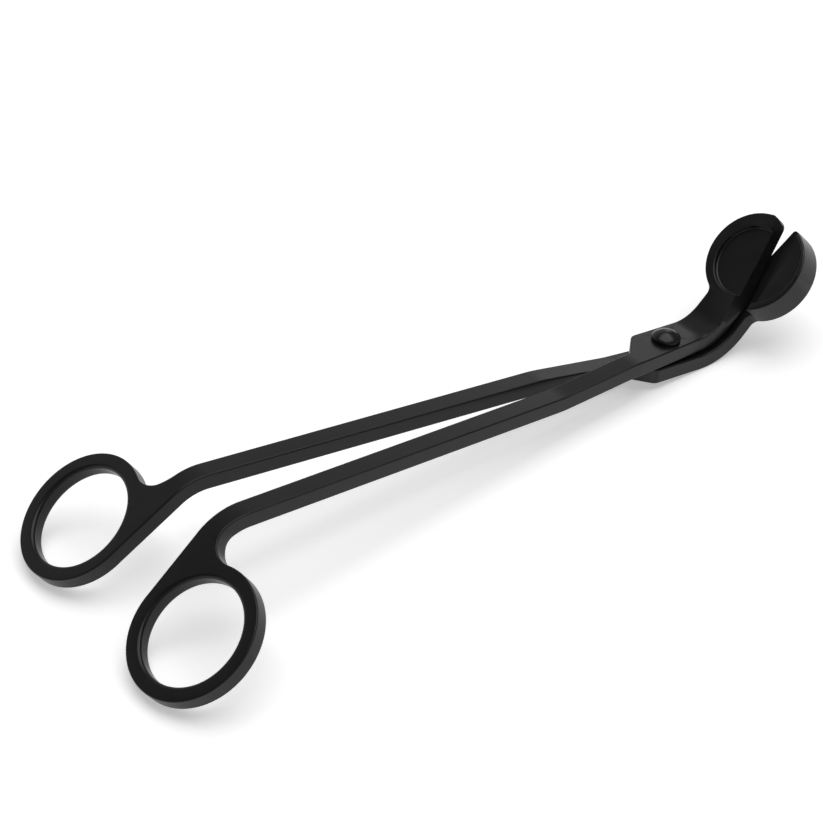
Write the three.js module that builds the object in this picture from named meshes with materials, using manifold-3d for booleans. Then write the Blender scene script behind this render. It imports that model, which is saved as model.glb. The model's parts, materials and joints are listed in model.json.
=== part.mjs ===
// Wick trimmer: long-handled scissors with a round, upturned, two-part cutting head.
// Millimetres, +Z up, +X from the finger rings towards the cutting head.
// The origin is under the middle of the trimmer, on the surface that it lies on.
//
// Two levers cross at one domed pivot rivet. Each is a flat bar: a finger ring at the back, bent
// down; a long arm; a ramp to its own layer of the pivot; a plate with the pivot hole; a neck
// bent up; and half of the round head, which is a blade and a catch tray in one.

import * as THREE from 'three';
import { mergeVertices } from 'three/addons/utils/BufferGeometryUtils.js';
import Module from 'manifold-3d';

const wasm = await Module();
wasm.setup();

// ---- Driving dimensions -------------------------------------------------------------

const PLATE = 3.41;           // thickness of both levers
const LAYER_GAP = 0.3;        // running gap between the two pivot plates

const REST_SWING = 2.55;      // degrees that each lever stands off the middle plane, as stored

const RING_RADIUS = 14.18;    // finger ring, outside
const RING_BAND = 3.21;       // finger ring, width of the band
const RING_OFFSET = 15.31;    // ring centre to the middle plane, lever not swung
const RING_REACH = 15.3;      // end of the handle bend to the ring centre
const RING_FILLET = 5.32;     // outer corner between shank and ring
const HANDLE_ANGLE = 39.53;   // degrees that the rings are bent down
const HANDLE_RADIUS = 11.95;  // handle bend, to the middle of the plate
const HANDLE_START = 111.48;  // pivot to the start of the handle bend

const ARM_INNER = 0.18;       // inner edge of the arm to the middle plane
const ARM_WIDTH_BACK = 4.46;
const ARM_WIDTH_FRONT = 4.52;
const RAMP_START = 33.58;     // pivot to where the arm begins to leave the common layer
const RAMP_END = 11;          // pivot to where it has reached its own layer

const SHOULDER_START = 10.74; // pivot to the foot of the 45-degree shoulder
const SHOULDER_END = 5.63;
const PLATE_OUTER = 5.05;     // outer edge of the pivot plate, at the shoulder
const PLATE_INNER = 4.5;      // inner edge of the pivot plate, past the middle plane
const NECK_OUTER = 4;         // outer edge of the neck, at the foot of the head
const NECK_FLARE = 0.5;       // the neck is this much wider where it begins to bend
const NECK_INNER = 3.9;       // inner edge of the neck, where it begins to bend
const NECK_START = 6.32;      // pivot to the start of the neck bend
const NECK_ANGLE = 47.94;     // degrees that the head is bent up
const NECK_RADIUS = 8.76;     // hollow side of the upper lever's neck
const NECK_RELIEF = 0.5;      // the lower neck bends this much later, so that it never rubs

const HEAD_REACH = 14.54;     // end of the neck bend to the centre of the round head
const HEAD_RADIUS = 10.84;
const FOOT_INNER = 4.2;       // inner edge of the neck at the foot of the head
const UPPER_EDGE_FOOT = 4.59; // upper cutting edge, past the middle plane, at the foot
const UPPER_EDGE_TIP = 0.73;  // the same at the tip
const UPPER_TIP = 2.08;       // corner radius at the tip of the upper blade
const UPPER_BEVEL = 24;       // degrees that the upper cutting face leans back
const UPPER_TRAY = { radius: 8.2, depth: 1.0, shift: -0.6 };
const LOWER_EDGE_FOOT = 2.45;
const LOWER_EDGE_TIP = 0.49;
const LOWER_TIP = 0.7;
const LOWER_RIM = -1.2;       // rim of the lower tray, above the upper tray's rim
const LOWER_STEP_FOOT = 5.2;  // the lower tray is cut down for the upper blade from here
const LOWER_STEP_TIP = 3.0;
const LOWER_TRAY = { radius: 9.6, depth: 1.5, shift: 0.6 };

const HOLE_RADIUS = 2.3;      // pivot hole in both levers
const RIVET_RADIUS = 2.0;
const RIVET_HEAD_RADIUS = 3.15;
const RIVET_HEAD_EDGE = 0.5;  // straight rim of the rivet head
const RIVET_DOME = 1.3;       // rise of the dome above that rim
const RIVET_CLEARANCE = 0.3;  // rivet head to pivot plate

const ARC_STEP = 5;           // degrees between points on a round edge
const BEND_STEPS = 8;         // straight facets in each bend
const CUT = 4;                // how far a cutting solid stands past what it cuts
const TONGUE = 1;             // how far the shank runs into the ring plate, to join it
const TONGUE_INSET = 0.2;     // that tongue is this much narrower on each side
const FOOT_OVERLAP = 2.5;     // how far the neck runs into the head that it carries

// ---- Small helpers ------------------------------------------------------------------

const rad = THREE.MathUtils.degToRad;
const layerHeight = (PLATE + LAYER_GAP) / 2;   // pivot plate, middle of the plate

function solid(geometry) {
  const bare = geometry.clone();
  bare.deleteAttribute('normal');
  bare.deleteAttribute('uv');
  const merged = mergeVertices(bare, 1e-4);
  return new wasm.Manifold(new wasm.Mesh({
    numProp: 3,
    vertProperties: new Float32Array(merged.attributes.position.array),
    triVerts: new Uint32Array(merged.index.array),
  }));
}

function geometryOf(manifold) {
  const mesh = manifold.getMesh();
  const geometry = new THREE.BufferGeometry();
  geometry.setAttribute('position', new THREE.BufferAttribute(mesh.vertProperties, 3));
  geometry.setIndex(new THREE.BufferAttribute(mesh.triVerts, 1));
  geometry.computeVertexNormals();
  return geometry;
}

// Points on a circle from one angle to another, both in degrees, ends included.
function arc(centreX, centreY, radius, from, to) {
  const steps = Math.max(1, Math.ceil(Math.abs(to - from) / ARC_STEP));
  const points = [];
  for (let i = 0; i <= steps; i += 1) {
    const a = rad(from + (to - from) * i / steps);
    points.push(new THREE.Vector2(centreX + radius * Math.cos(a), centreY + radius * Math.sin(a)));
  }
  return points;
}

// A slab of a flat outline, from one height to another.
function slab(outline, bottom, top, hole) {
  const shape = new THREE.Shape(outline);
  if (hole) shape.holes.push(new THREE.Path(hole));
  const geometry = new THREE.ExtrudeGeometry(shape, { depth: top - bottom, bevelEnabled: false });
  geometry.translate(0, 0, bottom);
  return solid(geometry);
}

// A bar through rectangular sections. Each section has its middle (x, z), the tilt of the bar
// there in radians, and its two edges in Y.
function bar(sections) {
  const corners = sections.flatMap(({ x, z, tilt, low, high }) => {
    const up = { x: -Math.sin(tilt) * PLATE / 2, z: Math.cos(tilt) * PLATE / 2 };
    return [
      [x - up.x, low, z - up.z], [x - up.x, high, z - up.z],
      [x + up.x, high, z + up.z], [x + up.x, low, z + up.z],
    ];
  }).flat();
  const faces = [0, 2, 1, 0, 3, 2];
  const last = (sections.length - 1) * 4;
  for (let i = 0; i < last; i += 4) {
    for (let k = 0; k < 4; k += 1) {
      const next = (k + 1) % 4;
      faces.push(i + k, i + next, i + 4 + next, i + k, i + 4 + next, i + 4 + k);
    }
  }
  faces.push(last, last + 1, last + 2, last, last + 2, last + 3);
  const geometry = new THREE.BufferGeometry();
  geometry.setAttribute('position', new THREE.Float32BufferAttribute(corners, 3));
  geometry.setIndex(faces);
  return solid(geometry);
}

// ---- The handle: shank, bend and finger ring ----------------------------------------
// Outlines are drawn for the upper lever, whose ring is on the -Y side.

// Middle of the plate along the handle bend; turned is how far the bend has gone, in radians.
function handleBend(turned) {
  return {
    x: -HANDLE_START - HANDLE_RADIUS * Math.sin(turned),
    z: -HANDLE_RADIUS * (1 - Math.cos(turned)),
    tilt: turned,
  };
}

const armOuter = -ARM_INNER - ARM_WIDTH_BACK;

// The fillet between the shank's outer edge and the ring, measured back along the unrolled bar.
function shankFillet() {
  const bendLength = HANDLE_RADIUS * rad(HANDLE_ANGLE);
  const ringX = -HANDLE_START - bendLength - RING_REACH;
  const centreY = armOuter - RING_FILLET;
  const across = centreY + RING_OFFSET;
  const along = Math.sqrt((RING_RADIUS + RING_FILLET) ** 2 - across ** 2);
  return { x: ringX + along, y: centreY, bendLength, touch: Math.atan2(across, along) };
}

function shankOuterEdge(unrolled) {
  const fillet = shankFillet();
  const past = fillet.x - unrolled;
  if (past <= 0) return armOuter;
  return fillet.y + Math.sqrt(RING_FILLET ** 2 - past ** 2);
}

function handleBendSections() {
  const { bendLength } = shankFillet();
  const end = handleBend(rad(HANDLE_ANGLE));
  const sections = [{
    x: end.x - TONGUE * Math.cos(end.tilt),
    z: end.z - TONGUE * Math.sin(end.tilt),
    tilt: end.tilt,
    low: shankOuterEdge(-HANDLE_START - bendLength) + TONGUE_INSET,
    high: -ARM_INNER - TONGUE_INSET,
  }];
  for (let i = BEND_STEPS; i >= 0; i -= 1) {
    const part = i / BEND_STEPS;
    const low = shankOuterEdge(-HANDLE_START - bendLength * part);
    sections.push({ ...handleBend(rad(HANDLE_ANGLE) * part), low, high: -ARM_INNER });
  }
  return sections;
}

// The flat ring with its web, in its own plane: +X towards the pivot, 0 at the end of the bend.
function ringPlate() {
  const fillet = shankFillet();
  const filletX = fillet.x + HANDLE_START + fillet.bendLength;
  const webEdge = shankOuterEdge(-HANDLE_START - fillet.bendLength);
  const webAngle = THREE.MathUtils.radToDeg(Math.atan2(webEdge - fillet.y, -filletX));
  const touch = THREE.MathUtils.radToDeg(fillet.touch);
  const outline = [
    ...arc(-RING_REACH, -RING_OFFSET, RING_RADIUS, 90, 360 + touch),
    ...arc(filletX, fillet.y, RING_FILLET, 180 + touch, webAngle).slice(1),
    new THREE.Vector2(0, -ARM_INNER),
  ];
  const hole = arc(-RING_REACH, -RING_OFFSET, RING_RADIUS - RING_BAND, 0, 360 - ARC_STEP);
  return slab(outline, -PLATE / 2, PLATE / 2, hole);
}

function finger() {
  const end = handleBend(rad(HANDLE_ANGLE));
  const place = new THREE.Matrix4().makeRotationY(-end.tilt);
  place.setPosition(end.x, 0, end.z);
  return ringPlate().transform(place.elements);
}

// ---- The arm, ramp, pivot plate and neck --------------------------------------------

function armSections(layer) {
  const inner = -ARM_INNER;
  return [
    { x: -RAMP_START, z: 0, tilt: 0, low: inner - ARM_WIDTH_FRONT, high: inner },
    { x: -RAMP_END, z: layer * layerHeight, tilt: 0, low: inner - ARM_WIDTH_FRONT, high: inner },
    { x: -SHOULDER_START, z: layer * layerHeight, tilt: 0, low: -PLATE_INNER, high: inner },
    { x: -SHOULDER_END, z: layer * layerHeight, tilt: 0, low: -PLATE_INNER, high: PLATE_OUTER },
  ];
}

// The neck bends about one centre for both levers, so that they stay one layer apart.
function neckCurve(layer) {
  const hollowTop = layerHeight + PLATE / 2;
  const radius = NECK_RADIUS + hollowTop - layer * layerHeight;
  const start = NECK_START + (layer < 0 ? NECK_RELIEF : 0);
  return { start, radius, centreZ: hollowTop + NECK_RADIUS };
}

function neckSections(layer) {
  const { start, radius, centreZ } = neckCurve(layer);
  const sections = [];
  const bent = radius * rad(NECK_ANGLE);
  const straight = HEAD_REACH - HEAD_RADIUS + FOOT_OVERLAP;
  const total = bent + straight;
  const edges = (run) => ({
    low: -THREE.MathUtils.lerp(NECK_INNER, FOOT_INNER, run / total),
    high: THREE.MathUtils.lerp(NECK_OUTER + NECK_FLARE, NECK_OUTER, run / total),
  });
  for (let i = 0; i <= BEND_STEPS; i += 1) {
    const turned = rad(NECK_ANGLE) * i / BEND_STEPS;
    sections.push({
      x: start + radius * Math.sin(turned),
      z: centreZ - radius * Math.cos(turned),
      tilt: turned,
      ...edges(bent * i / BEND_STEPS),
    });
  }
  const tilt = rad(NECK_ANGLE);
  const bend = sections[BEND_STEPS];
  sections.push({
    x: bend.x + straight * Math.cos(tilt), z: bend.z + straight * Math.sin(tilt), tilt, ...edges(total),
  });
  return sections;
}

function pivotHole() {
  const hole = new THREE.CylinderGeometry(HOLE_RADIUS, HOLE_RADIUS, 8 * PLATE, 360 / ARC_STEP);
  hole.rotateX(Math.PI / 2);
  return solid(hole);
}

// ---- The round head -----------------------------------------------------------------
// Drawn in the plane of the upper tray's rim: +X away from the neck, 0 at the head's centre.

function headPlace() {
  const tilt = rad(NECK_ANGLE);
  const { start, centreZ } = neckCurve(1);
  const x = start + NECK_RADIUS * Math.sin(tilt) + HEAD_REACH * Math.cos(tilt);
  const z = centreZ - NECK_RADIUS * Math.cos(tilt) + HEAD_REACH * Math.sin(tilt);
  const place = new THREE.Matrix4().makeRotationY(-tilt);
  return place.setPosition(x, 0, z);
}

// Part of the disc on the +Y side of a cutting edge that runs from foot to tip, with a rounded tip.
function bladeOutline(edgeFoot, edgeTip, tipRadius) {
  const slope = Math.atan2(edgeFoot - edgeTip, 2 * HEAD_RADIUS);
  const edgeAt = (x) => -edgeTip - (HEAD_RADIUS - x) * Math.tan(slope);
  const reach = HEAD_RADIUS - tipRadius;
  const centreY = edgeAt(HEAD_RADIUS) + tipRadius;
  const centreX = Math.sqrt(reach ** 2 - centreY ** 2);
  const turn = THREE.MathUtils.radToDeg(Math.atan2(centreY, centreX));
  const foot = Math.asin(edgeFoot / HEAD_RADIUS);
  const footDeg = 180 + THREE.MathUtils.radToDeg(foot);
  const corner = arc(centreX, centreY, tipRadius, -90 + THREE.MathUtils.radToDeg(slope), turn);
  return [...corner, ...arc(0, 0, HEAD_RADIUS, turn, footDeg).slice(1)];
}

function trayPocket({ radius, depth, shift }, rim) {
  return slab(arc(shift, 0, radius, 0, 360 - ARC_STEP), rim - depth, rim + CUT);
}

// Everything on the -Y side of a line that runs from foot to tip, between two heights.
function beside(foot, tip, bottom, top) {
  const reach = HEAD_RADIUS + CUT;
  const lineAt = (x) => THREE.MathUtils.mapLinear(x, -HEAD_RADIUS, HEAD_RADIUS, foot, tip);
  return slab([
    new THREE.Vector2(-reach, -reach),
    new THREE.Vector2(reach, -reach),
    new THREE.Vector2(reach, lineAt(reach)),
    new THREE.Vector2(-reach, lineAt(-reach)),
  ], bottom, top);
}

function upperHead() {
  const outline = bladeOutline(UPPER_EDGE_FOOT, UPPER_EDGE_TIP, UPPER_TIP);
  const blade = slab(outline, -PLATE, 0).subtract(trayPocket(UPPER_TRAY, 0));
  const lean = new THREE.Matrix4().makeShear(0, 0, 0, 0, 0, Math.tan(rad(UPPER_BEVEL)));
  lean.premultiply(new THREE.Matrix4().makeTranslation(0, 0, -PLATE));
  const bevel = beside(-UPPER_EDGE_FOOT, -UPPER_EDGE_TIP, 0, PLATE + CUT).transform(lean.elements);
  return blade.subtract(bevel).transform(headPlace().elements);
}

// The lower head is as deep as both layers. Its inner part is cut down for the upper blade.
function lowerHead() {
  const relief = NECK_RELIEF * Math.sin(rad(NECK_ANGLE));
  const floor = -PLATE - LAYER_GAP - relief;
  const outline = bladeOutline(LOWER_EDGE_FOOT, LOWER_EDGE_TIP, LOWER_TIP);
  const whole = slab(outline, floor - PLATE, LOWER_RIM);
  const lap = beside(LOWER_STEP_FOOT, LOWER_STEP_TIP, floor, CUT);
  return whole.subtract(lap).subtract(trayPocket(LOWER_TRAY, LOWER_RIM)).transform(headPlace().elements);
}

// ---- The three pieces ---------------------------------------------------------------

// layer is +1 for the upper lever and -1 for the lower one, which is its mirror image in plan.
function lever(layer, head) {
  const sections = [...handleBendSections(), ...armSections(layer), ...neckSections(layer)];
  let body = bar(sections).add(finger()).add(head).subtract(pivotHole());
  if (layer < 0) {
    body = body.transform(new THREE.Matrix4().makeScale(1, -1, 1).elements);
  }
  return geometryOf(body);
}

function pivotRivet() {
  const under = layerHeight + PLATE / 2 + RIVET_CLEARANCE;
  const rim = under + RIVET_HEAD_EDGE;
  const domeRadius = (RIVET_HEAD_RADIUS ** 2 + RIVET_DOME ** 2) / (2 * RIVET_DOME);
  const domeHalf = THREE.MathUtils.radToDeg(Math.asin(RIVET_HEAD_RADIUS / domeRadius));
  const dome = arc(0, rim + RIVET_DOME - domeRadius, domeRadius, 90 - domeHalf, 90);
  const profile = [
    new THREE.Vector2(0, -layerHeight - PLATE / 2),
    new THREE.Vector2(RIVET_RADIUS, -layerHeight - PLATE / 2),
    new THREE.Vector2(RIVET_RADIUS, under),
    new THREE.Vector2(RIVET_HEAD_RADIUS, under),
    ...dome.slice(0, -1),
    new THREE.Vector2(0, rim + RIVET_DOME),
  ];
  const turned = new THREE.LatheGeometry(profile, 360 / ARC_STEP);
  turned.rotateX(Math.PI / 2);
  return geometryOf(solid(turned));
}

function mesh(name, geometry, color, roughness) {
  const material = new THREE.MeshStandardMaterial({ color, roughness, metalness: 0.6 });
  const piece = new THREE.Mesh(geometry, material);
  piece.name = name;
  return piece;
}

// ---- How the trimmer lies -----------------------------------------------------------
// It rests on the ends of both rings and on the rounded underside of the lower neck, so the
// arms slope down a little towards the pivot.

function restingPitch() {
  const end = handleBend(rad(HANDLE_ANGLE));
  const reach = RING_REACH + RING_RADIUS;
  const backX = end.x - reach * Math.cos(end.tilt) + PLATE / 2 * Math.sin(end.tilt);
  const backZ = end.z - reach * Math.sin(end.tilt) - PLATE / 2 * Math.cos(end.tilt);
  const swing = rad(REST_SWING);
  const swungX = backX * Math.cos(swing) + RING_OFFSET * Math.sin(swing);
  const { start, radius, centreZ } = neckCurve(-1);
  const run = start - swungX;
  const rise = centreZ - backZ;
  return Math.atan2(rise, run) - Math.asin((radius + PLATE / 2) / Math.hypot(run, rise));
}

function trimmer() {
  const upper = mesh('upper_lever', lever(1, upperHead()), 0x2f2e2d, 0.5);
  const lower = mesh('lower_lever', lever(-1, lowerHead()), 0x2b2a2a, 0.5);
  const rivet = mesh('pivot_rivet', pivotRivet(), 0x0c0c0c, 0.25);
  upper.rotation.z = rad(REST_SWING);
  lower.rotation.z = -rad(REST_SWING);
  rivet.rotation.z = -rad(REST_SWING);

  const lying = new THREE.Group();
  lying.add(lower, upper, rivet);
  lying.rotation.y = restingPitch();

  const whole = new THREE.Group();
  whole.add(lying);
  whole.updateMatrixWorld(true);
  const box = new THREE.Box3().setFromObject(whole, true);
  const middle = box.getCenter(new THREE.Vector3());
  lying.position.set(-middle.x, -middle.y, -box.min.z);
  return whole;
}

export default trimmer();
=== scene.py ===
# %% [markdown]
# # A wick trimmer in satin black
# A wick trimmer is a pair of scissors for a candle that has burned down inside its jar. The long
# arms reach in, the bent neck turns the cutting head level with the wax, and the round head
# catches the piece of wick that it cuts off. The real one is two steel levers and one rivet.
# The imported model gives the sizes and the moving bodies. This lesson makes the three pieces
# again with the soft edges, smooth bends and coating that the eye expects.

import json
import math

import bmesh
import bpy
from mathutils import Matrix, Vector


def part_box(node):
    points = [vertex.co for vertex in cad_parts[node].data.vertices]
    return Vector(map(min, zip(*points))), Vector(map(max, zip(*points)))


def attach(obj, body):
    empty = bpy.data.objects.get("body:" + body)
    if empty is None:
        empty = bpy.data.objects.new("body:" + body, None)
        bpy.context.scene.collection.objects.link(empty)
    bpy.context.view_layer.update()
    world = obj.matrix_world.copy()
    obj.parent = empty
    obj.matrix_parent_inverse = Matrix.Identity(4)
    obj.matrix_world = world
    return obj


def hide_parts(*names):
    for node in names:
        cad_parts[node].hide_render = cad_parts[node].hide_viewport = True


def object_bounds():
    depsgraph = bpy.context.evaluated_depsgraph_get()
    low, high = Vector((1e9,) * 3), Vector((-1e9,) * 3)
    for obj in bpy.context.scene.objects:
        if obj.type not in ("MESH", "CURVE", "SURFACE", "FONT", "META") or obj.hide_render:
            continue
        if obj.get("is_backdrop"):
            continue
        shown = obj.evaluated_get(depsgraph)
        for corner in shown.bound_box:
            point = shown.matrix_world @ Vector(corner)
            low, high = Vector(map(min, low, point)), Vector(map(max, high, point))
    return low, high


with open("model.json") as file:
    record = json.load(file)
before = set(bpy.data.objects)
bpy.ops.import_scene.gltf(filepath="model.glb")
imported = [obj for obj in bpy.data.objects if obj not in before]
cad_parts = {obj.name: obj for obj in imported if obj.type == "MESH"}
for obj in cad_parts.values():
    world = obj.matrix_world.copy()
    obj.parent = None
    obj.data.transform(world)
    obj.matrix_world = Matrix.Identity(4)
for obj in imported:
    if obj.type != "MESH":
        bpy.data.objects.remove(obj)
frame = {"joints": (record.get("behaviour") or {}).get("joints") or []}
cad_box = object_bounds()

# %% [markdown]
# ## Where the levers meet
# Both levers turn about the rivet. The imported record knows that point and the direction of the
# rivet, so they are read from there. The trimmer lies on its rings and on the underside of its
# neck, which tips the rivet a few degrees towards the head. From here on all drawing is in
# millimetres, with the rivet at the origin and the head towards +X, and one matrix at the end
# puts a piece into the scene.

# %% The place of the rivet
MM = 0.001
hinge = frame["joints"][0]
rivet_place = Vector(hinge["pos_m"])
rivet_axis = Vector(hinge["axis"])
pitch = math.atan2(rivet_axis.x, rivet_axis.z)
REST_SWING = math.radians(2.55)    # each lever stands this far off the middle, as stored


def lever_place(layer):
    """From a lever's own drawing to the scene. The lower lever is a mirror image."""
    lying = Matrix.Translation(rivet_place) @ Matrix.Rotation(pitch, 4, "Y")
    swung = Matrix.Rotation(layer * REST_SWING, 4, "Z")
    mirror = Matrix.Diagonal((1, layer, 1, 1))
    return lying @ swung @ mirror @ Matrix.Scale(MM, 4)


print("rivet at", [round(v / MM, 2) for v in rivet_place], "mm")
print("tipped", round(math.degrees(pitch), 2), "degrees")

# %% [markdown]
# ## The sizes of a lever
# The factory starts each lever as a flat blank punched from 3.4 mm plate. These are its sizes,
# named for the parts of the lever: the ring, the shank and its bend, the arm, the ramp that
# takes the arm to its own layer, the shoulder and pivot plate, the neck and the head.

# %% Sizes of the blank
PLATE = 3.41
LAYER = (PLATE + 0.3) / 2          # middle of a pivot plate above or below the middle of the rivet

RING_RADIUS, RING_BAND = 14.18, 3.21
RING_OFFSET, RING_REACH, RING_FILLET = 15.31, 15.3, 5.32
HANDLE_ANGLE, HANDLE_RADIUS, HANDLE_START = math.radians(39.53), 11.95, 111.48
HANDLE_LENGTH = HANDLE_RADIUS * HANDLE_ANGLE

ARM_INNER, ARM_BACK, ARM_FRONT = 0.18, 4.46, 4.52
RAMP_START, RAMP_END = 33.58, 11.0
SHOULDER_START, SHOULDER_END = 10.74, 5.63
PLATE_OUTER, PLATE_INNER = 5.05, 4.5

NECK_ANGLE, NECK_RADIUS, NECK_START = math.radians(47.94), 8.76, 6.32
NECK_HIGH, NECK_HIGH_FOOT, NECK_LOW, NECK_LOW_FOOT = 4.5, 4.0, 3.9, 4.2
NECK_LATE = 0.5                    # the lower neck bends this much later

HEAD_REACH, HEAD_RADIUS = 14.54, 10.84
behind = HANDLE_START + HANDLE_LENGTH + RING_REACH + RING_RADIUS
print("blank is", round(behind, 1), "mm behind the rivet")

# %% [markdown]
# ## Bending a bar
# A press bends the blank twice: the rings go down and the head goes up. The same can be done to a
# mesh. Every point of the blank has a run along the bar, a place across it and a height in its
# thickness. The path below says where the middle of the bar is after each run and how far it has
# turned, and a point simply follows it. The width never changes, as in a real press brake.

# %% The path of the bar
RAMP_ROUND = 0.12                  # share of the ramp that is rounded at each end


def soft_ramp(part):
    """A straight rise from 0 to 1 with a rounded foot and top."""
    part = min(1.0, max(0.0, part))
    if part > 0.5:
        return 1 - soft_ramp(1 - part)
    steep = 1 / (1 - RAMP_ROUND)
    if part < RAMP_ROUND:
        return steep * part * part / (2 * RAMP_ROUND)
    return steep * (part - RAMP_ROUND / 2)


def neck_bend(layer):
    """Start, radius and centre height of the neck's bend. Both necks bend about one centre."""
    hollow = LAYER + PLATE / 2
    start = NECK_START + (NECK_LATE if layer < 0 else 0)
    return start, NECK_RADIUS + hollow - layer * LAYER, hollow + NECK_RADIUS


def bar_path(run, layer):
    """Middle of the bar (x, z) and its turn after a run along the blank."""
    start, radius, centre = neck_bend(layer)
    if run < -HANDLE_START:
        turn = min(HANDLE_ANGLE, (-HANDLE_START - run) / HANDLE_RADIUS)
        left = max(0.0, -HANDLE_START - HANDLE_LENGTH - run)
        return (-HANDLE_START - HANDLE_RADIUS * math.sin(turn) - left * math.cos(turn),
                -HANDLE_RADIUS * (1 - math.cos(turn)) - left * math.sin(turn), turn)
    if run <= start:
        return run, layer * LAYER * soft_ramp((run + RAMP_START) / (RAMP_START - RAMP_END)), 0.0
    turn = min(NECK_ANGLE, (run - start) / radius)
    left = max(0.0, run - start - radius * NECK_ANGLE)
    return (start + radius * math.sin(turn) + left * math.cos(turn),
            centre - radius * math.cos(turn) + left * math.sin(turn), turn)


def head_run(layer):
    """Run along the blank to the centre of the round head."""
    start, radius, _ = neck_bend(layer)
    late = NECK_LATE * math.cos(NECK_ANGLE) if layer < 0 else 0
    return start + radius * NECK_ANGLE + HEAD_REACH - late


for layer in (1, -1):
    print("head centre after", round(head_run(layer), 2), "mm of blank")

# %% [markdown]
# ## Drawing an outline
# An outline is a list of points, each with the softness of its edge in millimetres. Corners are
# given as places with a corner radius, and arcs are laid in where the shape is round. A cutting
# edge gets almost no softness, and everything that a hand touches gets more.

# %% Outline helpers
ARC_STEP = math.radians(3.0)
SOFT = 0.32                        # edges that are tumbled smooth
KEEN = 0.05                        # cutting edges
NEARLY_STRAIGHT = 1e-3             # a corner that turns less than this gets no curve


def arc(x, y, radius, start, end, soft=SOFT):
    steps = max(2, math.ceil(abs(end - start) / ARC_STEP))
    turns = (start + (end - start) * i / steps for i in range(steps + 1))
    return [(x + radius * math.cos(t), y + radius * math.sin(t), soft) for t in turns]


def corners(places, soft=SOFT):
    """Points of a line through places (x, y, corner radius); the two ends are only guides."""
    points = []
    for before, here, after in zip(places, places[1:], places[2:]):
        a, p, b = Vector(before[:2]), Vector(here[:2]), Vector(after[:2])
        into, out = (p - a).normalized(), (b - p).normalized()
        bend = into.angle_signed(out) if here[2] else 0
        if abs(bend) < NEARLY_STRAIGHT:
            points.append((p.x, p.y, soft))
            continue
        cut = here[2] * math.tan(abs(bend) / 2)
        steps = max(2, math.ceil(abs(bend) / ARC_STEP / 2))
        for i in range(steps + 1):
            t = i / steps
            q = (p - into * cut) * (1 - t) ** 2 + p * 2 * t * (1 - t) + (p + out * cut) * t ** 2
            points.append((q.x, q.y, soft))
    return points


print("a quarter circle takes", len(arc(0, 0, 1, 0, math.pi / 2)), "points")

# %% [markdown]
# ## The handle side of the outline
# The ring hangs on the shank like a key ring on a tab. Its outer side meets the shank in a
# generous hollow, which is where the finger rests, and its inner side runs straight on, so that
# the two shanks can close against each other.

# %% Ring and hollow
HOLE_SOFT = 0.8                    # the finger hole's edge is rounder than the rest
ring_run = -HANDLE_START - HANDLE_LENGTH - RING_REACH


def ring_outline():
    """From the top of the ring, round it, and through the hollow to the shank's outer edge."""
    edge = -ARM_INNER - ARM_BACK
    hollow_y = edge - RING_FILLET
    across = hollow_y + RING_OFFSET
    along = math.sqrt((RING_RADIUS + RING_FILLET) ** 2 - across ** 2)
    touch = math.atan2(across, along)
    ring = arc(ring_run, -RING_OFFSET, RING_RADIUS, math.pi / 2, 2 * math.pi + touch)
    hollow = arc(ring_run + along, hollow_y, RING_FILLET, math.pi + touch, math.pi / 2)
    return ring + hollow[1:]


def ring_hole():
    inner = arc(ring_run, -RING_OFFSET, RING_RADIUS - RING_BAND, 0, -2 * math.pi, HOLE_SOFT)
    return inner[:-1]


print("finger hole", round(2 * (RING_RADIUS - RING_BAND), 1), "mm across")

# %% [markdown]
# ## The head's outline
# Each half of the head is the larger part of a disc, cut by its blade's edge. The two edges lean,
# so that the blades shear from the foot to the tip as they close. The left half has a rounded
# tip; the right half's is sharper. A small hollow joins the disc to the neck.

# %% Blade outlines
UPPER_BLADE = {"foot": 4.59, "tip": 0.73, "corner": 2.08}
LOWER_BLADE = {"foot": 2.45, "tip": 0.49, "corner": 0.7}
NECK_HOLLOW = 2.2


def edge_y(x, foot, tip):
    """Across-place of a line over the disc that starts at foot and ends at tip."""
    return foot + (tip - foot) * (x + HEAD_RADIUS) / (2 * HEAD_RADIUS)


def blade_outline(centre, blade, radius):
    """From the cutting edge's foot to its tip and back round the disc to the neck."""
    slope = math.atan2(blade["foot"] - blade["tip"], 2 * HEAD_RADIUS)
    corner = blade["corner"]
    corner_y = -blade["tip"] + corner
    corner_x = math.sqrt((radius - corner) ** 2 - corner_y ** 2)
    turn = math.atan2(corner_y, corner_x)
    tip = arc(centre + corner_x, corner_y, corner, slope - math.pi / 2, turn, KEEN)
    out_y = NECK_HIGH_FOOT + NECK_HOLLOW
    out_x = -math.sqrt((radius + NECK_HOLLOW) ** 2 - out_y ** 2)
    meet = math.atan2(out_y, out_x)
    disc = arc(centre, 0, radius, turn, meet)
    hollow = arc(centre + out_x, out_y, NECK_HOLLOW, meet - math.pi, -math.pi / 2)
    return tip + disc[1:] + hollow[1:]


print("blade foot to tip", round(2 * HEAD_RADIUS, 1), "mm")

# %% [markdown]
# ## The whole blank
# The outline goes once round the lever: ring, outer edge of the arm, pivot plate, inner edge of
# the neck, blade, disc, outer edge of the neck, shoulder, inner edge of the arm. The shoulder's
# corners are rounded a little, as a punch leaves them.

# %% Corner sizes
GENTLE = 8                         # corners that can hardly be seen as corners
NECK_CORNER = 6
SHOULDER_CORNER, SHOULDER_HOLLOW = 2.2, 1.5
FOOT_BEND, FOOT_BEND_CORNER = 10.2, 1.6    # where the neck's edge turns out, before the head
FOOT_START, FOOT_CORNER = 8.6, 1.2         # where the cutting edge begins
FOOT_LINE = -9.0                           # the edge's height across is taken here
DISC_SLIP = 0.03                   # the lower disc is this much smaller than the block on it
print("shoulder corner", SHOULDER_CORNER, "mm, foot corner", FOOT_CORNER, "mm")


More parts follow.
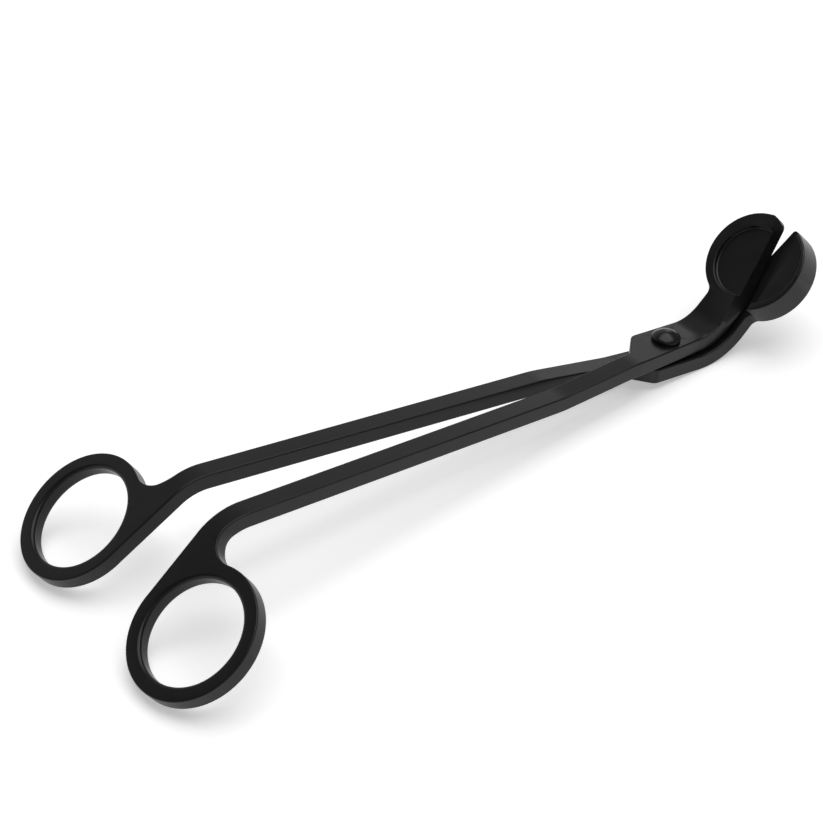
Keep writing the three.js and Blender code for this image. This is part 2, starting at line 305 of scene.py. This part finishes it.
# %% The outline of a lever
def inner_edges(run, start, blade):
    """Neck's inner edge and the cutting edge, up to the middle of the head."""
    foot_y = edge_y(FOOT_LINE, -blade["foot"], -blade["tip"])
    return corners([
        (start, -NECK_LOW, 0), (run - FOOT_BEND, -NECK_LOW_FOOT, FOOT_BEND_CORNER),
        (run - FOOT_START, foot_y, FOOT_CORNER), (run, edge_y(0, -blade["foot"], -blade["tip"]), 0)], KEEN)


def lever_outline(layer):
    run = head_run(layer)
    start = neck_bend(layer)[0]
    blade = UPPER_BLADE if layer > 0 else LOWER_BLADE
    outer = -ARM_INNER - ARM_FRONT
    low_side = corners([
        (-HANDLE_START, -ARM_INNER - ARM_BACK, 0), (-RAMP_START, outer, 0), (-RAMP_END, outer, GENTLE),
        (-SHOULDER_END, -PLATE_INNER, GENTLE), (start, -NECK_LOW, GENTLE), (start + GENTLE, -NECK_LOW, 0)])
    foot = inner_edges(run, start, blade)
    radius = HEAD_RADIUS - (DISC_SLIP if layer < 0 else 0)
    head = blade_outline(run, blade, radius)
    high_side = corners([
        (run - HEAD_RADIUS, NECK_HIGH_FOOT, 0), (start, NECK_HIGH, NECK_CORNER),
        (-SHOULDER_END, PLATE_OUTER, SHOULDER_CORNER), (-SHOULDER_START, -ARM_INNER, SHOULDER_HOLLOW),
        (-HANDLE_START - HANDLE_LENGTH, -ARM_INNER, 0), (ring_run, -RING_OFFSET + RING_RADIUS, 0)])
    return ring_outline() + low_side + foot + head + high_side


print("outline points:", len(lever_outline(1)), len(lever_outline(-1)))

# %% [markdown]
# ## From outline to plate
# A curve object could be extruded and bevelled, but its softness would be the same everywhere.
# Stacking rings by hand is hardly longer: each ring is the outline pulled in by a little, the
# rings turn the quarter circle at both faces, and the two faces are filled. A hole is one more
# outline that runs the other way round.

# %% Move an outline inwards
ROUND_STEPS = 4                    # faces in each rounded edge
SAME_PLACE = 0.02                  # points closer than this are one point
SHARPEST = 0.5                     # keeps a sharp corner from being moved too far


def pulled_in(outline, amount):
    """The outline moved into the material. amount(soft) says how far at each point."""
    count, moved = len(outline), []
    for i, (x, y, soft) in enumerate(outline):
        before, after = Vector(outline[i - 1][:2]), Vector(outline[(i + 1) % count][:2])
        here = Vector((x, y))
        a, b = (here - before).normalized(), (after - here).normalized()
        side = (a + b).normalized()
        inward = Vector((-side.y, side.x)) / max(SHARPEST, side.dot(a))
        moved.append(here + inward * amount(soft))
    return moved


def without_repeats(outline):
    pairs = zip(outline, outline[-1:] + outline[:-1])
    return [here for here, before in pairs if math.dist(here[:2], before[:2]) > SAME_PLACE]


print("a softened edge has", ROUND_STEPS, "faces")


# %% Plate maker
def as_object(name, mesh):
    data = bpy.data.meshes.new(name)
    mesh.to_mesh(data)
    mesh.free()
    piece = bpy.data.objects.new(name, data)
    bpy.context.scene.collection.objects.link(piece)
    print(name, "starts with", len(data.polygons), "faces")
    return piece


def plate(name, outlines, bottom, top):
    """A slab with softened edges. The first outline is outside, the others are holes."""
    mesh = bmesh.new()
    face_edges = {0: [], 1: []}
    turns = [math.pi / 2 * i / ROUND_STEPS for i in range(ROUND_STEPS + 1)]
    levels = [(-1, t) for t in reversed(turns)] + [(1, t) for t in turns]
    for outline in map(without_repeats, outlines):
        rings = []
        for side, turn in levels:
            inset = pulled_in(outline, lambda soft: soft * (1 - math.cos(turn)))
            rise = [soft * (1 - math.sin(turn)) for _, _, soft in outline]
            heights = [top - r if side > 0 else bottom + r for r in rise]
            rings.append([mesh.verts.new((p.x, p.y, h)) for p, h in zip(inset, heights)])
        for low, high in zip(rings, rings[1:]):
            for i in range(len(low)):
                mesh.faces.new((low[i - 1], low[i], high[i], high[i - 1]))
        for which, ring in ((0, rings[0]), (1, rings[-1])):
            face_edges[which] += [mesh.edges.get((ring[i - 1], ring[i])) for i in range(len(ring))]
    for edges in face_edges.values():
        bmesh.ops.triangle_fill(mesh, edges=edges, use_beauty=True, use_dissolve=False)
    bmesh.ops.recalc_face_normals(mesh, faces=mesh.faces)
    return as_object(name, mesh)


# %% [markdown]
# ## Cutting and joining
# Blender's Boolean modifier does the work of the milling cutter and of the welder. It is applied
# at once, so that the mesh can be bent afterwards.

# %% Cut or join two solids
ON_AXIS = 1e-6


def combine(body, tool, operation):
    change = body.modifiers.new(operation, "BOOLEAN")
    change.operation, change.object, change.solver = operation, tool, "MANIFOLD"
    seen = body.evaluated_get(bpy.context.evaluated_depsgraph_get())
    made = bpy.data.meshes.new_from_object(seen)
    body.modifiers.clear()
    body.data = made
    bpy.data.objects.remove(tool)
    print(body.name, operation.lower(), "->", len(made.polygons), "faces")


def turned(name, profile, centre, steps=120):
    """A closed solid turned about a vertical line. profile is (radius, height), downwards."""
    mesh = bmesh.new()
    rings = []
    for radius, height in profile:
        if radius < ON_AXIS:
            rings.append([mesh.verts.new((centre, 0, height))])
            continue
        turns = (2 * math.pi * i / steps for i in range(steps))
        rings.append([mesh.verts.new((centre + radius * math.cos(t), radius * math.sin(t), height))
                      for t in turns])
    for high, low in zip(rings, rings[1:]):
        for i in range(steps):
            # an end ring is one point, and the same point twice is not a face
            face = [high[i % len(high) - 1], low[i % len(low) - 1], low[i % len(low)], high[i % len(high)]]
            mesh.faces.new(list(dict.fromkeys(face)))
    bmesh.ops.recalc_face_normals(mesh, faces=mesh.faces)
    return as_object(name, mesh)


# %% [markdown]
# ## The shallow trays
# Both halves of the head are hollowed, so that a cut wick lies in them. The cutter has a rounded
# nose, which leaves a soft corner round the floor, and a flared neck, which softens the lip.

# %% A round-nosed cutter
ABOVE = 3                          # the cutter stands this far past the rim
NOSE_STEPS = 5


def tray_cutter(centre, rim, radius, depth, nose=0.5, lip=0.3):
    quarter = [math.pi / 2 * i / NOSE_STEPS for i in range(NOSE_STEPS + 1)]
    lip_side = [(radius + lip * (1 - math.sin(t)), rim - lip * (1 - math.cos(t))) for t in quarter]
    nose_side = [(radius - nose * (1 - math.cos(t)), rim - depth + nose * (1 - math.sin(t)))
                 for t in quarter]
    handle = [(0, rim + ABOVE), (radius + lip, rim + ABOVE)]
    profile = handle + lip_side + nose_side + [(0, rim - depth)]
    return turned("cutter", profile, centre)


print("the cutter's nose is rounded in", NOSE_STEPS, "steps")

# %% [markdown]
# ## The upper lever
# The upper lever is one plate with a tray milled into its head and a bevel ground along its
# blade. The bevel's cutter is a slab that leans back from the cutting edge.

# %% Upper blank
RIVET_HOLE, RIVET_HOLE_SOFT = 2.05, 0.15
UPPER_TRAY = {"radius": 8.2, "depth": 1.0, "shift": -0.6}
BEVEL_LEAN = math.tan(math.radians(24))
BEVEL_RUN = 18.0                   # the cutter runs off the neck well behind the head
BEVEL_PAST = 3                     # and this far past the tip
BEVEL_UNDER, BEVEL_OVER = 0.6, 2   # it stands out below and above the plate


def rivet_hole():
    return arc(0, 0, RIVET_HOLE, 0, -2 * math.pi, RIVET_HOLE_SOFT)[:-1]


def blank(name, layer):
    """The whole lever as it is punched, before anything is cut or bent."""
    return plate(name, [lever_outline(layer), ring_hole(), rivet_hole()], -PLATE / 2, PLATE / 2)


print("rivet hole", 2 * RIVET_HOLE, "mm")


# %% Grind the bevel and mill the tray
def bevel_cutter(centre):
    """A leaning block whose lowest edge is the cutting edge. It runs out along the neck."""
    mesh = bmesh.new()
    near, far, reach = -BEVEL_RUN, HEAD_RADIUS + BEVEL_PAST, HEAD_RADIUS
    rows = []
    for height in (-PLATE / 2 - BEVEL_UNDER, PLATE / 2 + BEVEL_OVER):
        lean = (height + PLATE / 2) * BEVEL_LEAN
        ends = [edge_y(x, -UPPER_BLADE["foot"], -UPPER_BLADE["tip"]) + lean for x in (near, far)]
        row = [(near, ends[0]), (far, ends[1]), (far, -reach), (near, -reach)]
        rows.append([mesh.verts.new((centre + x, y, height)) for x, y in row])
    mesh.faces.new(rows[0])
    mesh.faces.new(rows[1])
    for i in range(len(rows[0])):
        mesh.faces.new((rows[0][i - 1], rows[0][i], rows[1][i], rows[1][i - 1]))
    bmesh.ops.recalc_face_normals(mesh, faces=mesh.faces)
    return as_object("cutter", mesh)


upper = blank("upper_trimmer_lever", 1)
upper_centre = head_run(1)
combine(upper, tray_cutter(upper_centre + UPPER_TRAY["shift"], PLATE / 2,
                           UPPER_TRAY["radius"], UPPER_TRAY["depth"]), "DIFFERENCE")
combine(upper, bevel_cutter(upper_centre), "DIFFERENCE")
print("upper tray is", UPPER_TRAY["depth"], "mm deep")

# %% [markdown]
# ## The lower lever
# The lower head is deeper, because its tray stands up beside the upper blade. Its plate ends in
# the lower blade, and a thick D-shaped block stands on that plate behind a straight step, with
# the tray milled into its top.

# %% Lower blank
BLOCK_SOFT = 0.35
BLOCK_SINK = 0.01                  # the block reaches this far under the plate, so that they join
SETTLING_STEPS = 30                # rounds that home in on the end of the step
LOWER_RIM = -1.2                   # height of the lower tray's rim against the upper tray's rim
LOWER_FLOOR = -PLATE - 0.3 - NECK_LATE * math.sin(NECK_ANGLE)
STEP_FOOT, STEP_TIP = 5.2, 3.0
LOWER_TRAY = {"radius": 9.6, "depth": 1.5, "shift": 0.6}


def tray_block_outline(centre):
    """The part of the disc behind the step."""
    def meets(side):
        """Angle of the place where the step leaves the disc."""
        x = side * HEAD_RADIUS
        for _ in range(SETTLING_STEPS):
            x = side * math.sqrt(HEAD_RADIUS ** 2 - edge_y(x, STEP_FOOT, STEP_TIP) ** 2)
        return math.atan2(edge_y(x, STEP_FOOT, STEP_TIP), x)
    return arc(centre, 0, HEAD_RADIUS, meets(1), meets(-1), BLOCK_SOFT)


lower = blank("lower_trimmer_lever", -1)
lower_centre = head_run(-1)
rim_height = PLATE / 2 + LOWER_RIM - LOWER_FLOOR
block = plate("block", [tray_block_outline(lower_centre)], -PLATE / 2 - BLOCK_SINK, rim_height)
combine(lower, block, "UNION")
combine(lower, tray_cutter(lower_centre + LOWER_TRAY["shift"], rim_height,
                           LOWER_TRAY["radius"], LOWER_TRAY["depth"]), "DIFFERENCE")
print("lower tray is", LOWER_TRAY["depth"], "mm deep")

# %% [markdown]
# ## Into the press
# A face can only bend where it has a line across it. The blank is sliced, without being parted,
# wherever a bend or the ramp will be, and then every point follows the path of the bar.

# %% Slice, bend and place
SLICES = 26                        # in each bend and in the ramp
WELD = 0.002                       # points closer than this are joined after bending
SHARP_TURN = math.radians(38)      # an edge that turns more than this stays sharp


def stations(layer):
    start, radius, _ = neck_bend(layer)
    bends = [(-HANDLE_START - HANDLE_LENGTH, -HANDLE_START), (-RAMP_START, -RAMP_END),
             (start, start + radius * NECK_ANGLE)]
    return [a + (b - a) * i / SLICES for a, b in bends for i in range(SLICES + 1)]


def press(piece, layer):
    mesh = bmesh.new()
    mesh.from_mesh(piece.data)
    for run in stations(layer):
        everything = [*mesh.verts, *mesh.edges, *mesh.faces]
        bmesh.ops.bisect_plane(mesh, geom=everything, plane_co=(run, 0, 0), plane_no=(1, 0, 0))
    place = lever_place(layer)
    for vert in mesh.verts:
        x, z, turn = bar_path(vert.co.x, layer)
        height = vert.co.z
        bent = Vector((x - height * math.sin(turn), vert.co.y, z + height * math.cos(turn)))
        vert.co = place @ bent
    bmesh.ops.remove_doubles(mesh, verts=mesh.verts, dist=WELD * MM)
    bmesh.ops.recalc_face_normals(mesh, faces=mesh.faces)
    mesh.to_mesh(piece.data)
    mesh.free()


def polish(piece):
    """Smooth shading that keeps real corners, with the normals led by the large faces."""
    piece.data.polygons.foreach_set("use_smooth", [True] * len(piece.data.polygons))
    piece.data.set_sharp_from_angle(angle=SHARP_TURN)
    even = piece.modifiers.new("even_normals", "WEIGHTED_NORMAL")
    even.keep_sharp = True


for piece, layer, node in ((upper, 1, "upper_lever"), (lower, -1, "lower_lever")):
    press(piece, layer)
    polish(piece)
    low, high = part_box(node)
    size = [round(v / MM, 1) for v in piece.dimensions]
    print(piece.name, "is", size, "mm; its frame node is", [round(v / MM, 1) for v in high - low])

# %% [markdown]
# ## The rivet
# The rivet is a polished dome on a straight shank. It is turned on a lathe from one profile. The
# dome's foot has a small radius, which draws the thin bright line round it.

# %% Turn the rivet
DOME_RADIUS, DOME_EDGE, DOME_RISE = 3.15, 0.75, 1.35
DOME_STEPS = 16
RIM_SOFT = 0.12                    # small radius at the dome's foot
RIM_TURNS = (1.0, 0.6, 0.2, 0.0)   # places on that radius, in radians
SEAT_GAP, SEAT_CHAMFER = 0.02, 0.1
SHANK_RADIUS, SHANK_CHAMFER = 2.0, 0.15
RIVET_SIDES = 96


def rivet_profile():
    seat = LAYER + PLATE / 2 + SEAT_GAP
    edge = seat + DOME_EDGE
    ball = (DOME_RADIUS ** 2 + DOME_RISE ** 2) / (2 * DOME_RISE)
    half = math.asin(DOME_RADIUS / ball)
    top = edge + DOME_RISE
    leans = [half * i / DOME_STEPS for i in range(DOME_STEPS)]
    dome = [(ball * math.sin(t), top - ball * (1 - math.cos(t))) for t in leans]
    foot = [(DOME_RADIUS - RIM_SOFT + RIM_SOFT * math.cos(t), edge - RIM_SOFT + RIM_SOFT * math.sin(t))
            for t in RIM_TURNS]
    end = -LAYER - PLATE / 2
    shank = [(DOME_RADIUS, seat + SEAT_CHAMFER), (DOME_RADIUS - SEAT_CHAMFER, seat),
             (SHANK_RADIUS, seat), (SHANK_RADIUS, end + SHANK_CHAMFER),
             (SHANK_RADIUS - SHANK_CHAMFER, end), (0, end)]
    return dome + foot + shank


rivet = turned("domed_rivet", rivet_profile(), 0, RIVET_SIDES)
rivet.data.transform(lever_place(-1))
rivet.data.flip_normals()
polish(rivet)
print("rivet dome", 2 * DOME_RADIUS, "mm wide")

# %% [markdown]
# ## Building a finish from nodes
# A finish on a real piece is never one flat colour. Noise nodes can vary it over the surface, and
# each finish below needs the same few steps: a noise, a change of range and a mix of two colours.
# Small helpers for them keep the finishes readable. Numbers that don't vary stay on the shader.

# %% Node helpers
def new_material(name):
    material = bpy.data.materials.new(name)
    material.use_nodes = True
    tree = material.node_tree
    return material, tree, tree.nodes["Principled BSDF"]


def noise(tree, scale, detail, where):
    node = tree.nodes.new("ShaderNodeTexNoise")
    node.inputs["Scale"].default_value = scale
    node.inputs["Detail"].default_value = detail
    tree.links.new(where, node.inputs["Vector"])
    return node.outputs["Fac"]


def between(tree, value, low, high, from_low=0.3, from_high=0.7):
    node = tree.nodes.new("ShaderNodeMapRange")
    limits = {"From Min": from_low, "From Max": from_high, "To Min": low, "To Max": high}
    for name, number in limits.items():
        node.inputs[name].default_value = number
    tree.links.new(value, node.inputs["Value"])
    return node.outputs["Result"]


def mixed(tree, factor, first, second):
    node = tree.nodes.new("ShaderNodeMix")
    node.data_type = "RGBA"
    tree.links.new(factor, node.inputs["Factor"])
    for socket, colour in ((node.inputs["A"], first), (node.inputs["B"], second)):
        if isinstance(colour, tuple):
            socket.default_value = (*colour, 1)
        else:
            tree.links.new(colour, socket)
    return node.outputs["Result"]


print("helpers:", ", ".join(step.__name__ for step in (new_material, noise, between, mixed)))

# %% [markdown]
# ## The satin black coating
# The steel is coated black. The coat is thin, so it follows the grain left by tumbling, and it is
# neither matt nor glossy. A dielectric shader with a middle roughness gives that soft sheen. A
# broad noise varies the roughness and the tone, as handling does, and a fine one makes the grain
# with a very slight bump. Along the edges the coat is rubbed a little thinner and looks paler.

# %% The coating
BROAD_NOISE, GRAIN_NOISE = 90, 2600
WORN_FROM, WORN_TO, WORN_MOST = 0.52, 0.62, 0.55
GRAIN_STRENGTH, GRAIN_DEPTH = 0.12, 0.00005
COAT_SHINE = 0.29
COAT_DARK = (0.004, 0.0037, 0.0037)
COAT_LIGHT = (0.0075, 0.007, 0.0068)
COAT_WORN = (0.03, 0.029, 0.028)


def satin_black():
    material, tree, shader = new_material("satin_black")
    where = tree.nodes.new("ShaderNodeTexCoord").outputs["Object"]
    broad = noise(tree, BROAD_NOISE, 4, where)
    grain = noise(tree, GRAIN_NOISE, 3, where)
    edge = tree.nodes.new("ShaderNodeNewGeometry").outputs["Pointiness"]
    tone = mixed(tree, between(tree, broad, 0, 1), COAT_DARK, COAT_LIGHT)
    worn = between(tree, edge, 0, WORN_MOST, WORN_FROM, WORN_TO)
    tree.links.new(mixed(tree, worn, tone, COAT_WORN), shader.inputs["Base Color"])
    tree.links.new(between(tree, broad, 0.27, 0.34), shader.inputs["Roughness"])
    bump = tree.nodes.new("ShaderNodeBump")
    bump.inputs["Strength"].default_value = GRAIN_STRENGTH
    bump.inputs["Distance"].default_value = GRAIN_DEPTH
    tree.links.new(grain, bump.inputs["Height"])
    tree.links.new(bump.outputs["Normal"], shader.inputs["Normal"])
    shader.inputs["Specular IOR Level"].default_value = COAT_SHINE
    return material


coating = satin_black()
print("coating nodes:", len(coating.node_tree.nodes))

# %% [markdown]
# ## The gloss black rivet
# The rivet is smoother than the levers and mirrors the room in its dome. It is nearly black, with
# a low roughness that noise breaks up a little, so that the highlight is not perfect.

# %% The rivet's finish
RIVET_DARK, RIVET_LIGHT = (0.006, 0.006, 0.006), (0.012, 0.0115, 0.011)
SMEAR_NOISE = 700
RIVET_SHINE = 0.3


def gloss_black():
    material, tree, shader = new_material("gloss_black")
    where = tree.nodes.new("ShaderNodeTexCoord").outputs["Object"]
    smear = noise(tree, SMEAR_NOISE, 3, where)
    tone = mixed(tree, between(tree, smear, 0, 1), RIVET_DARK, RIVET_LIGHT)
    tree.links.new(tone, shader.inputs["Base Color"])
    tree.links.new(between(tree, smear, 0.22, 0.3), shader.inputs["Roughness"])
    shader.inputs["Specular IOR Level"].default_value = RIVET_SHINE
    return material


for piece, finish in ((upper, coating), (lower, coating), (rivet, gloss_black())):
    piece.data.materials.clear()
    piece.data.materials.append(finish)
    print(piece.name, "is", finish.name)

# %% [markdown]
# ## Handing the pieces to the frame
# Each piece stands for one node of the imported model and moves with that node's body.

# %% Ride and replace
for piece, body, node, finish in ((upper, "upper", "upper_lever", "lever_coating"),
                                  (lower, "lower", "lower_lever", "lever_coating"),
                                  (rivet, "lower", "pivot_rivet", "rivet_finish")):
    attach(piece, body)
    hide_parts(node)
    print(piece.name, "rides on", body)

# %% [markdown]
# ## A pale table
# The trimmer lies on a white light table. Its own faint glow is an emission on the floor's shader,
# and it keeps the shadows pale. The floor is a plain square, marked as stage and not as a piece.

# %% Floor
FLOOR_REACH = 3                    # metres from the middle to each side
FLOOR_GREY, FLOOR_ROUGHNESS, FLOOR_GLOW = 0.9, 0.9, 0.4


def make_floor():
    mesh = bmesh.new()
    bmesh.ops.create_grid(mesh, x_segments=1, y_segments=1, size=FLOOR_REACH)
    floor = as_object("floor", mesh)
    material, _, shader = new_material("pale_floor")
    shader.inputs["Base Color"].default_value = (FLOOR_GREY, FLOOR_GREY, FLOOR_GREY, 1)
    shader.inputs["Roughness"].default_value = FLOOR_ROUGHNESS
    shader.inputs["Emission Color"].default_value = (1, 1, 1, 1)
    shader.inputs["Emission Strength"].default_value = FLOOR_GLOW
    floor.data.materials.append(material)
    floor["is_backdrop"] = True


make_floor()
print("floor is", 2 * FLOOR_REACH, "m wide")

# %% [markdown]
# ## Soft light, placed by what a face mirrors
# A black object is seen by what it mirrors, so each lamp is placed where a face looks: a wide wall
# behind for the rings and arms, a small panel at the right for the pivot plate and the start of
# the neck, and a weak lamp in front for the sides. The ceiling lamp makes the soft shadows. The
# round head looks past the wall's top edge into a dim room, so it is the darkest part. The lamps
# are hidden from the camera, but the pieces still mirror them.

# %% Lights
def soft_light(name, place, aim, size, power):
    """A rectangular lamp, size wide and high, that faces a point. Metres and watts."""
    data = bpy.data.lights.new(name, "AREA")
    data.shape, data.energy = "RECTANGLE", power
    data.size, data.size_y = size
    lamp = bpy.data.objects.new(name, data)
    lamp.location = place
    lamp.rotation_euler = (Vector(aim) - Vector(place)).to_track_quat("-Z", "Y").to_euler()
    lamp.visible_camera = False
    bpy.context.scene.collection.objects.link(lamp)
    print("lamp", name, power, "W")


soft_light("ceiling", (0.3, 0.0, 1.5), (0, 0, 0), (1.6, 1.6), 18)
soft_light("back_wall", (0.25, 1.5, 0.75), (0.25, 0, 0.75), (3.5, 1.5), 6.2)
soft_light("right_panel", (1.16, 0.94, 0.573), (0, 0, 0), (0.4, 0.4), 0.5)
soft_light("front", (-0.3, -0.9, 0.55), (0, 0, 0), (0.9, 0.9), 0.6)

# %% The dim room
ROOM_GLOW = 0.12


def dim_room():
    world = bpy.data.worlds.new("studio")
    world.use_nodes = True
    background = world.node_tree.nodes["Background"]
    background.inputs["Color"].default_value = (1, 1, 1, 1)
    background.inputs["Strength"].default_value = ROOM_GLOW
    return world


bpy.context.scene.world = dim_room()
bpy.context.scene.view_settings.view_transform = "Standard"
print("room glow", ROOM_GLOW)

# %% [markdown]
# ## The camera
# A long lens stands over the rings and looks along the arms to the head, tilted by a couple of
# degrees. Its place is given by the point that it looks at, two angles and a distance.

# %% Camera
LOOK_AT = Vector((-5.436, 11.635, 8.457)) * MM
AZIMUTH, ELEVATION, ROLL = math.radians(-34.041), math.radians(36.722), math.radians(-2.010)
DISTANCE, LENS, SENSOR = 512.64 * MM, 108.05, 36.0
NEAREST, FARTHEST = 0.01, 20       # metres that the camera sees between


def make_camera():
    data = bpy.data.cameras.new("camera")
    data.lens, data.sensor_width = LENS, SENSOR
    data.clip_start, data.clip_end = NEAREST, FARTHEST
    flat = math.cos(ELEVATION)
    back = Vector((math.sin(AZIMUTH) * flat, -math.cos(AZIMUTH) * flat, math.sin(ELEVATION)))
    right = Vector((math.cos(AZIMUTH), math.sin(AZIMUTH), 0))
    up = back.cross(right)
    side = right * math.cos(ROLL) + up * math.sin(ROLL)
    top = up * math.cos(ROLL) - right * math.sin(ROLL)
    camera = bpy.data.objects.new("camera", data)
    turn = Matrix((side, top, back)).transposed().to_4x4()
    camera.matrix_world = Matrix.Translation(LOOK_AT + back * DISTANCE) @ turn
    bpy.context.scene.collection.objects.link(camera)
    bpy.context.scene.camera = camera
    return camera


camera = make_camera()
print("camera is", round(camera.location.z, 3), "m above the table")

# %% [markdown]
# ## The two boxes
# The finished pieces are meant to be as large as the imported model. Both boxes are printed.

# %% Write the sizes and finish
bpy.context.view_layer.update()
seen_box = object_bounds()
for label, box in (("frame", cad_box), ("pieces", seen_box)):
    print(label, [round(v / MM, 2) for corner in box for v in corner])
